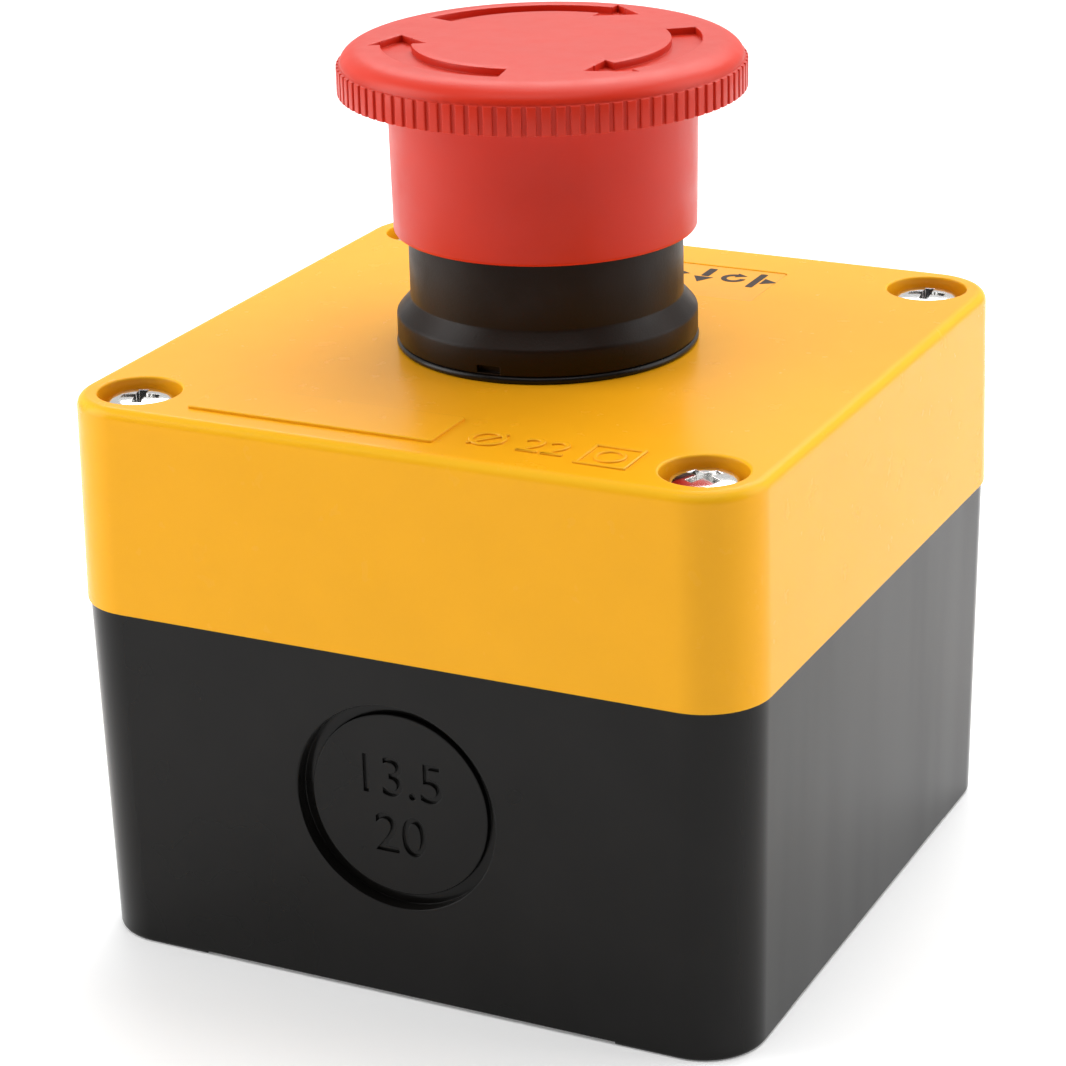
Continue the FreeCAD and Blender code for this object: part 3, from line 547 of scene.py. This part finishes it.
def shallow_space(name, left, right, front, rear, depth, corner, rim):
    """Cutter for a shallow label space with soft corners and a rounded rim."""
    piece = block(name, (left, front, LID_TOP - depth), (right, rear, LID_TOP - rim), corner, 4)
    middle_point = ((left + right) / 2 * MM, (front + rear) / 2 * MM, 0)
    wide, long, height = right - left, rear - front, LID_TOP - rim
    edit(piece)
    pick_faces(piece, lambda middle, normal: middle.z > LID_TOP - rim - 0.01)
    for grow, next_height in quarter(rim, LID_TOP - rim, -rim, rim + 0.002, 4)[1:] + [(rim, LID_TOP + 0.4)]:
        rise = (0, 0, (next_height - height) * MM)
        bpy.ops.mesh.extrude_region_move(TRANSFORM_OT_translate={"value": rise})
        next_wide, next_long = right - left + 2 * grow, rear - front + 2 * grow
        bpy.ops.transform.resize(value=(next_wide / wide, next_long / long, 1), center_override=middle_point)
        wide, long, height = next_wide, next_long, next_height
    close_up(piece)
    return piece


LABEL_GAP = 0.04
label_space = shallow_space("label_space", LABEL_LOW.x - LABEL_GAP, LABEL_HIGH.x + LABEL_GAP,
                            LABEL_LOW.y - LABEL_GAP, LABEL_HIGH.y + LABEL_GAP, 0.4, 0.35, 0.16)
combined(lid, "DIFFERENCE", panel_hole, key_way, label_space)
close_up(lid)
soft(lid, flat=True)
dress(lid, "enclosure", "yellow_plastic", "lid_shell")

# raised marks: a plain plate, size numerals and a ring in a square
MARK_X, MARK_Y, MARK_HALF, MARK_LINE, MARK_HEIGHT, MARK_FOOT = 20.4, -29.7, 2.6, 0.4, 0.25, 0.1
PLATE_LEFT, PLATE_RIGHT, PLATE_FRONT, PLATE_REAR, PLATE_HEIGHT = -22.4, 3.6, -32.4, -25.4, 0.3


def raised_frame(name, half, line):
    """A raised square line with a rounded top."""
    outer = block(name, (MARK_X - half, MARK_Y - half, LID_TOP - MARK_FOOT),
                  (MARK_X + half, MARK_Y + half, LID_TOP + MARK_HEIGHT - 0.04))
    inner = half - line
    hole = block("hole", (MARK_X - inner, MARK_Y - inner, LID_TOP - 1),
                 (MARK_X + inner, MARK_Y + inner, LID_TOP + 1))
    combined(outer, "DIFFERENCE", hole)
    edit(outer)
    pick_edges(outer, lambda a, b, edge: min(a.z, b.z) > LID_TOP + 0.1)
    bpy.ops.mesh.bevel(offset=0.13 * MM, segments=3, affect="EDGES")
    clear()
    return outer


plate = block("plate", (PLATE_LEFT, PLATE_FRONT, LID_TOP - MARK_FOOT),
              (PLATE_RIGHT, PLATE_REAR, LID_TOP + PLATE_HEIGHT), 0.25, 3)
edit(plate)
pick_edges(plate, lambda a, b, edge: min(a.z, b.z) > LID_TOP + PLATE_HEIGHT - 0.01)
bpy.ops.mesh.bevel(offset=0.14 * MM, segments=3, affect="EDGES")
clear()
square = raised_frame("square", MARK_HALF, MARK_LINE)
ring_outline = [(1.15, LID_TOP - MARK_FOOT), (1.55, LID_TOP - MARK_FOOT)]
ring_outline += quarter(1.35, LID_TOP + 0.08, 0.2, 0.13, 6, 0, 180)
ring = turned("ring", ring_outline, 48, True, (MARK_X, MARK_Y))
sizes = numerals("sizes", "Ø 22", 3.6, 0.10, 0.09)
sizes.data.transform(Matrix.Translation((11.2 * MM, -29.8 * MM, (LID_TOP + 0.06) * MM)))
lid_marks = joined("lid_marks", square, ring, sizes, plate)
soft(lid_marks, flat=True)
dress(lid_marks, "enclosure", "yellow_plastic")

# label film and its print
film = block("label", LABEL_LOW, LABEL_HIGH, 0.5, 4)
edit(film)
pick_edges(film, lambda a, b, edge: min(a.z, b.z) > LABEL_HIGH.z - 0.01)
bpy.ops.mesh.bevel(offset=0.06 * MM, segments=2, affect="EDGES")
clear()
soft(film, flat=True)
dress(film, "enclosure", "label_film", "legend_label")

PRINT_LOW, PRINT_HIGH = LABEL_HIGH.z - 0.05, LABEL_HIGH.z + 0.02


def bar(left, right, front, rear):
    """One printed bar."""
    return block("bar", (left, front, PRINT_LOW), (right, rear, PRINT_HIGH), 0.15, 2)


def arrow_head(x, y, size, angle):
    """One printed triangle that points along an angle."""
    clear()
    bpy.ops.mesh.primitive_cylinder_add(vertices=3, radius=size * MM, depth=(PRINT_HIGH - PRINT_LOW) * MM,
                                        location=(x * MM, y * MM, (PRINT_HIGH + PRINT_LOW) / 2 * MM),
                                        rotation=(0, 0, math.radians(angle - 90)))
    return named("arrow_head")


def turning_arrow(x, y):
    """A printed ring with a gap and an arrow head at its end."""
    circle = turned("circle", [(0.75, PRINT_LOW), (1.35, PRINT_LOW), (1.35, PRINT_HIGH), (0.75, PRINT_HIGH)],
                    48, True, (x, y))
    gap = block("gap", (x, y, PRINT_LOW - 1), (x + 2, y + 2, PRINT_HIGH + 1))
    combined(circle, "DIFFERENCE", gap)
    return [circle, arrow_head(x + 0.35, y + 1.05, 0.8, 0)]


ROW, ROW_HALF, PITCH = 25.7, 2.4, 3.3
SECOND_ROW_FRONT, SECOND_ROW_REAR, BAR_LENGTH = 19.8, 21.6, 2.2
print_parts = []
for i in range(3):
    x = (3 * i - 4) * PITCH - 0.4
    print_parts += [bar(x - 0.45, x + 0.45, ROW - 0.3, ROW + ROW_HALF), arrow_head(x, ROW - 1.2, 1.25, -90)]
    print_parts += turning_arrow(x + PITCH - 0.1, ROW)
    print_parts += [bar(x + 2 * PITCH - 1.2, x + 2 * PITCH - 0.4, ROW - ROW_HALF, ROW + ROW_HALF),
                    arrow_head(x + 2 * PITCH + 0.4, ROW, 1.1, 0)]
print_parts += [bar(x, x + BAR_LENGTH, SECOND_ROW_FRONT, SECOND_ROW_REAR) for x in (-6.4, -3.2, 0.0, 3.2)]
label_print = joined("label_print", *print_parts)
close_up(label_print)
dress(label_print, "enclosure", "label_film", finish="print_ink")

# ------------------------------------------------------------------ base

BASE_TOP_SIDE, BASE_LOW_SIDE = 71.5, 70.6
FOOT_REACH, FOOT_HEIGHT = 22.5, 0.4
CAVITY_SIDE, CAVITY_CORNER, FLOOR_THICK = 66.6, 4.2, 3.0
TONGUE_HALF, TONGUE_CORNER = 34.5, 5.4
BOSS_RADIUS, PILOT_RADIUS, PILOT_END = 4.6, 1.75, 9
FIXING_RADIUS, FIXING_X, FIXING_Y = 2.15, 27, 17
ENTRY_HEIGHT = 20.6
WALL_AT_ENTRY = BASE_LOW_SIDE / 2 + (BASE_TOP_SIDE - BASE_LOW_SIDE) / 2 * ENTRY_HEIGHT / PARTING

base = tapered_block("base", BASE_LOW_SIDE, 0, BASE_TOP_SIDE, PARTING, CORNER - 0.25, 14)
edit(base)
pick_edges(base, lambda a, b, edge: max(a.z, b.z) < 0.01)
bpy.ops.mesh.bevel(offset=0.45 * MM, segments=4, affect="EDGES")
pick_edges(base, lambda a, b, edge: min(a.z, b.z) > PARTING - 0.01)
bpy.ops.mesh.bevel(offset=0.12 * MM, segments=2, affect="EDGES")
clear()
half = CAVITY_SIDE / 2
cavity = block("cavity", (-half, -half, FLOOR_THICK), (half, half, PARTING + 5), CAVITY_CORNER)
combined(base, "DIFFERENCE", cavity)
tongue = block("tongue", (-TONGUE_HALF, -TONGUE_HALF, PARTING - 1), (TONGUE_HALF, TONGUE_HALF, TONGUE_TOP),
               TONGUE_CORNER)
tongue_hole = block("tongue_hole", (-half, -half, PARTING - 2), (half, half, TONGUE_TOP + 1), CAVITY_CORNER)
combined(tongue, "DIFFERENCE", tongue_hole)
combined(base, "UNION", tongue)
boss_outline = [(BOSS_RADIUS, FLOOR_THICK - 1), (BOSS_RADIUS, PARTING - 0.2), (BOSS_RADIUS - 0.2, PARTING)]
combined(base, "UNION", *[turned("boss", boss_outline, 48, False, place) for place in SCREW_PLACES])
pilot_outline = [(PILOT_RADIUS, PILOT_END), (PILOT_RADIUS, PARTING + 3)]
combined(base, "DIFFERENCE", *[turned("pilot", pilot_outline, 32, False, place) for place in SCREW_PLACES])
fixing_outline = [(FIXING_RADIUS, -1), (FIXING_RADIUS, FLOOR_THICK + 0.01), (FIXING_RADIUS, FLOOR_THICK + 1)]
fixings = [turned("fixing", fixing_outline, 32, False, (x, y))
           for x in (-FIXING_X, FIXING_X) for y in (-FIXING_Y, FIXING_Y)]
combined(base, "DIFFERENCE", *fixings)
relief_x = block("relief_x", (-FOOT_REACH, -50, -1), (FOOT_REACH, 50, FOOT_HEIGHT))
relief_y = block("relief_y", (-50, -FOOT_REACH, -1), (50, FOOT_REACH, FOOT_HEIGHT))
combined(base, "DIFFERENCE", relief_x, relief_y)


def stood_up(piece, facing):
    """Turns a piece drawn on the XY plane so that it faces out of the front or rear wall."""
    turn = Matrix.Rotation(math.radians(90), 4, "X")
    if facing > 0:
        turn = Matrix.Rotation(math.radians(180), 4, "Z") @ turn
    piece.data.transform(turn)
    piece.data.transform(Matrix.Translation((0, facing * WALL_AT_ENTRY * MM, ENTRY_HEIGHT * MM)))
    return piece


DISC_RADIUS, ENTRY_RADIUS, ENTRY_ROUND = 9.45, 10.62, 0.12
DISC_DEPTH, GROOVE_DEPTH, DIGIT_DEPTH, DIGIT_HEIGHT = 0.85, 1.5, 0.3, 4.2
for facing in (-1, 1):
    # the ring groove and the sunk disc of a knock-out, cut by one turned tool
    outline = [(DISC_RADIUS - 0.25, -DISC_DEPTH), (DISC_RADIUS - 0.07, -DISC_DEPTH - 0.07),
               (DISC_RADIUS, -DISC_DEPTH - 0.25), (DISC_RADIUS, -GROOVE_DEPTH), (ENTRY_RADIUS, -GROOVE_DEPTH)]
    outline += quarter(ENTRY_RADIUS + ENTRY_ROUND, -ENTRY_ROUND, -ENTRY_ROUND, ENTRY_ROUND, 3)
    outline += [(ENTRY_RADIUS + ENTRY_ROUND, 1.0)]
    combined(base, "DIFFERENCE", stood_up(turned("entry", outline, 96, False), facing))
    for text, up in (("13.5", 2.6), ("20", -3.4)):
        digits = numerals("digits", text, DIGIT_HEIGHT, 1.0)
        digits.data.transform(Matrix.Translation((0, up * MM, (0.5 - DISC_DEPTH - DIGIT_DEPTH) * MM)))
        combined(base, "DIFFERENCE", stood_up(digits, facing))
close_up(base)
soft(base, flat=True)
dress(base, "enclosure", "black_plastic", "base_shell")

# ------------------------------------------------------------------ lid screws

HEAD_UNDER = SCREW_TOP - SCREW_HEAD_HEIGHT
# how far out and how far down the crown of a screw's head reaches
SCREW_CROWN = [(0.35, 0), (1.2, 0.03), (2.0, 0.10), (2.6, 0.20), (2.98, 0.33), (3.14, 0.46), (3.2, 0.65)]
SLOT_HALF, SLOT_REACH, SLOT_DEPTH = 0.5, 2.1, 1.9
THREAD_RADIUS, THREAD_ROOT, THREAD_PITCH, THREAD_TURNS = 1.74, 1.5, 0.7, 14

first = turned("screw", [(radius, SCREW_TOP - down) for radius, down in SCREW_CROWN]
               + [(3.2, HEAD_UNDER + 0.1), (3.12, HEAD_UNDER), (1.7, HEAD_UNDER), (1.7, SCREW_END + 1),
                  (0.4, SCREW_END)], 48, False)
slots = []
for angle in (0, 90):
    arm = block("arm", (-SLOT_HALF, -SLOT_REACH, SCREW_TOP - SLOT_DEPTH),
                (SLOT_HALF, SLOT_REACH, SCREW_TOP + 0.5))
    edit(arm)
    pick_faces(arm, lambda middle, normal: normal.z < -0.9)
    bpy.ops.transform.resize(value=(0.85, 0.55, 1), center_override=(0, 0, 0))
    clear()
    arm.data.transform(Matrix.Rotation(math.radians(angle), 4, "Z"))
    slots.append(arm)
combined(first, "DIFFERENCE", *slots)
threads = []
for i in range(THREAD_TURNS):
    height = SCREW_END + 1.6 + i * THREAD_PITCH
    threads.append(turned("thread", [(THREAD_ROOT, height - 0.3), (THREAD_RADIUS, height - 0.04),
                                     (THREAD_RADIUS, height + 0.04), (THREAD_ROOT, height + 0.3)], 24))
first = joined("screw", first, *threads)
screws = [copy_at(first, x, y, turn) for (x, y), turn in zip(SCREW_PLACES, (20, 38, 62, 8))]
bpy.data.objects.remove(first)
lid_screws = joined("screws", *screws)
soft(lid_screws)
dress(lid_screws, "enclosure", "zinc_steel", "lid_screws")

# ------------------------------------------------------------------ collar and its seal

FLANGE_WALL_TOP, FLANGE_TOP, COLLAR_RADIUS, SHANK_RADIUS = 60.4, 61.9, 13.6, 10.95
BORE_RADIUS, CUP_RADIUS, CUP_FLOOR = 8.6, 11.6, 60.0
CLIP_GROOVE_RADIUS, CLIP_GROOVE_TOP, CLIP_GROOVE_END = 9.2, 52.4, 50.0
KEY_HALF, KEY_REACH = 1.45, 12.25
SEAL_INNER_RADIUS = 12.6
collar = turned("collar_ring", [
    (BORE_RADIUS, COLLAR_END), (8.9, COLLAR_END), (10.7, COLLAR_END), (SHANK_RADIUS, COLLAR_END + 0.25),
    (SHANK_RADIUS, SEAL_TOP), (FLANGE_RADIUS - 0.25, SEAL_TOP), (FLANGE_RADIUS - 0.07, SEAL_TOP + 0.07),
    (FLANGE_RADIUS, SEAL_TOP + 0.25), (FLANGE_RADIUS, FLANGE_WALL_TOP - 0.25),
    (FLANGE_RADIUS - 0.04, FLANGE_WALL_TOP - 0.08), (FLANGE_RADIUS - 0.17, FLANGE_WALL_TOP + 0.1),
    (COLLAR_RADIUS + 0.12, FLANGE_TOP - 0.14), (COLLAR_RADIUS, FLANGE_TOP + 0.1),
    (COLLAR_RADIUS, COLLAR_TOP - 0.3), (COLLAR_RADIUS - 0.09, COLLAR_TOP - 0.09),
    (COLLAR_RADIUS - 0.3, COLLAR_TOP), (CUP_RADIUS + 0.3, COLLAR_TOP), (CUP_RADIUS, COLLAR_TOP - 0.3),
    (CUP_RADIUS, CUP_FLOOR), (BORE_RADIUS, CUP_FLOOR), (BORE_RADIUS, CLIP_GROOVE_TOP),
    (CLIP_GROOVE_RADIUS, CLIP_GROOVE_TOP), (CLIP_GROOVE_RADIUS, CLIP_GROOVE_END),
    (BORE_RADIUS, CLIP_GROOVE_END)], 160)
notch = block("notch", (-0.4, -FLANGE_RADIUS - 1, 57.9), (2.0, -FLANGE_RADIUS + 0.7, 58.7))
combined(collar, "DIFFERENCE", notch)
collar_key = block("collar_key", (-KEY_HALF, SHANK_RADIUS - 1, LID_TOP - LID_THICK),
                   (KEY_HALF, KEY_REACH, SEAL_TOP + 0.5), 0.2, 2)
combined(collar, "UNION", collar_key)
close_up(collar)
soft(collar, 24)
dress(collar, "enclosure", "black_plastic", "collar", finish="collar_plastic")

seal = turned("seal_ring", [(SEAL_INNER_RADIUS, LID_TOP), (14.8, LID_TOP)]
              + quarter(14.72, LID_TOP + 0.375, 0.38, 0.355, 8, -80, 80)
              + [(14.6, SEAL_TOP), (SEAL_INNER_RADIUS, SEAL_TOP)], 160)
soft(seal)
dress(seal, "enclosure", "black_rubber", "collar_seal")

# ------------------------------------------------------------------ mushroom head

RIBS = 92
STEPS_PER_RIB = 9
STEPS = RIBS * STEPS_PER_RIB
STEP = 360 / STEPS
RIB_TURN = -0.63
HEAD_FLOOR = 82.6
ROOT_RADIUS, RIM_LOW, RIM_HIGH = 19.76, 82.65, 85.42
DOME_FOOT, DOME_REACH = 85.46, 2.88
CROWN_RADIUS, CROWN_EDGE = 16.8, HEAD_TOP - 0.1
ARROW_OUTER, ARROW_INNER, ARROW_DEPTH = 15.6, 12.6, 0.7
BARB_OUTER, BARB_INNER = 16.8, 11.2
TAIL = RIB_TURN - 181 * STEP
BARB = RIB_TURN - 347 * STEP
TIP = -168.2

underside = [(3.0, HEAD_FLOOR), (14.0, HEAD_FLOOR), (14.1, HEAD_FLOOR - 0.2), (14.1, SKIRT_END + 0.2),
             (14.2, SKIRT_END + 0.04), (14.35, SKIRT_END)]
skirt = [(14.75, SKIRT_END), (14.9, SKIRT_END + 0.05), (14.98, SKIRT_END + 0.16), (15.0, SKIRT_END + 0.3),
         (15.08, 75.5), (15.15, 81.7), (15.2, 82.1), (15.38, 82.4), (15.75, HEAD_FLOOR)]
rim = [(19.3, HEAD_FLOOR), (ROOT_RADIUS - 0.1, 82.61), (ROOT_RADIUS, RIM_LOW), (ROOT_RADIUS, RIM_HIGH)]
dome = quarter(CROWN_RADIUS, DOME_FOOT, DOME_REACH, CROWN_EDGE - DOME_FOOT, 12)
crown = [(ARROW_OUTER, CROWN_EDGE + 0.013), (14.1, CROWN_EDGE + 0.028), (ARROW_INNER, CROWN_EDGE + 0.043),
         (BARB_INNER, CROWN_EDGE + 0.055), (8.0, CROWN_EDGE + 0.077), (4.0, CROWN_EDGE + 0.094),
         (1.0, HEAD_TOP)]
head = turned("head", underside + skirt + rim + dome + crown, STEPS, False)
head.data.transform(Matrix.Rotation(math.radians(RIB_TURN), 4, "Z"))


def around_axis(point):
    """Distance from the axis and angle about it, in degrees."""
    return math.hypot(point.x, point.y), math.degrees(math.atan2(point.y, point.x))


def on_rib(middle, normal):
    """Faces of the rim band that stand out as ribs: two thirds of each pitch."""
    distance, angle = around_axis(middle)
    if not (RIM_LOW < middle.z < RIM_HIGH and distance > ROOT_RADIUS - 0.1):
        return False
    step = round((angle - RIB_TURN) / STEP - 0.5) % STEPS_PER_RIB
    return step < 3 or step > 5


edit(head)
pick_faces(head, on_rib)
bpy.ops.mesh.extrude_region_move(TRANSFORM_OT_translate={"value": (0, 0, 0)})
out = HEAD_RADIUS / ROOT_RADIUS
bpy.ops.transform.resize(value=(out, out, 1), center_override=(0, 0, 0))
bpy.ops.mesh.region_to_loop()
bpy.ops.mesh.bevel(offset=0.09 * MM, segments=2, affect="EDGES", clamp_overlap=False)


def sector(start, end, low, high, turn):
    """Test for crown faces between two angles and two radii, turned by an angle."""
    def inside(middle, normal):
        distance, angle = around_axis(middle)
        on_crown = normal.z > 0.9 and middle.z > CROWN_EDGE - 0.2
        return on_crown and low < distance < high and (angle - turn - start) % 360 < end - start
    return inside


def polar(distance, angle):
    """Point of the crown at a distance and an angle, in millimetres."""
    angle = math.radians(angle)
    return Vector((distance * math.cos(angle), distance * math.sin(angle), CROWN_EDGE))


for turn in (0, 120, 240):
    tip = polar((ARROW_OUTER + ARROW_INNER) / 2, TIP + turn)
    sides = []
    for corner in (polar(BARB_OUTER, BARB + turn), polar(BARB_INNER, BARB + turn)):
        pick_faces(head, sector(TIP - 1, BARB, BARB_INNER, BARB_OUTER, turn))
        along = (tip - corner).normalized()
        across = along.cross(Vector((0, 0, 1)))
        bpy.ops.mesh.bisect(plane_co=corner * MM, plane_no=across)
        sides.append((corner, across))

    def in_arrow(middle, normal):
        """Faces of one curved arrow."""
        if sector(BARB, TAIL, ARROW_INNER, ARROW_OUTER, turn)(middle, normal):
            return True
        if not sector(TIP - 1, BARB, BARB_INNER, BARB_OUTER, turn)(middle, normal):
            return False
        (first_corner, first_way), (second_corner, second_way) = sides
        return (middle - first_corner).dot(first_way) > 0 > (middle - second_corner).dot(second_way)

    pick_faces(head, in_arrow)
    bpy.ops.mesh.extrude_region_move(TRANSFORM_OT_translate={"value": (0, 0, -ARROW_DEPTH * MM)})


def arrow_rim(a, b, edge):
    """Upper edges of the arrows' walls."""
    if min(a.z, b.z) < CROWN_EDGE - 0.3 or len(edge.link_faces) != 2:
        return False
    first_up, second_up = (face.normal.z for face in edge.link_faces)
    return max(first_up, second_up) > 0.9 and min(first_up, second_up) < 0.3


bpy.ops.mesh.select_all(action="SELECT")
bpy.ops.mesh.normals_make_consistent(inside=False)
pick_edges(head, arrow_rim)
bpy.ops.mesh.bevel(offset=0.06 * MM, segments=2, affect="EDGES", clamp_overlap=False)
close_up(head)
soft(head, 30)
dress(head, "head", "red_plastic", "mushroom_head")

# ------------------------------------------------------------------ springs


def coil_spring(name, node, body, wire, pitch):
    """A wound spring in place of a node, put on the body that carries it."""
    low, high = (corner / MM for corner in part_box(node))
    radius, rise = (high.x - low.x) / 2 - wire / 2, high.z - low.z - wire
    clear()
    bpy.ops.mesh.primitive_circle_add(vertices=12, radius=wire / 2 * MM, fill_type="NOTHING",
                                      location=(radius * MM, 0, 0), rotation=(math.radians(90), 0, 0))
    piece = named(name)
    take(piece)
    winding = piece.modifiers.new("winding", "SCREW")
    winding.angle = math.tau * rise / pitch
    winding.screw_offset = rise * MM
    winding.steps = winding.render_steps = round(32 * rise / pitch)
    bpy.ops.object.modifier_apply(modifier=winding.name)
    edit(piece, "EDGE")
    bpy.ops.mesh.select_all(action="SELECT")
    bpy.ops.mesh.fill_holes(sides=0)
    close_up(piece)
    middle = (low + high) / 2
    piece.data.transform(Matrix.Translation(Vector((middle.x, middle.y, low.z + wire / 2)) * MM))
    soft(piece)
    dress(piece, body, "spring_steel", node)
    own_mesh(piece)


coil_spring("pusher_spring", "return_spring", "pusher", 1.0, 2.25)
coil_spring("closed_block_spring", "nc_spring", "nc_slider", 0.6, 1.5)
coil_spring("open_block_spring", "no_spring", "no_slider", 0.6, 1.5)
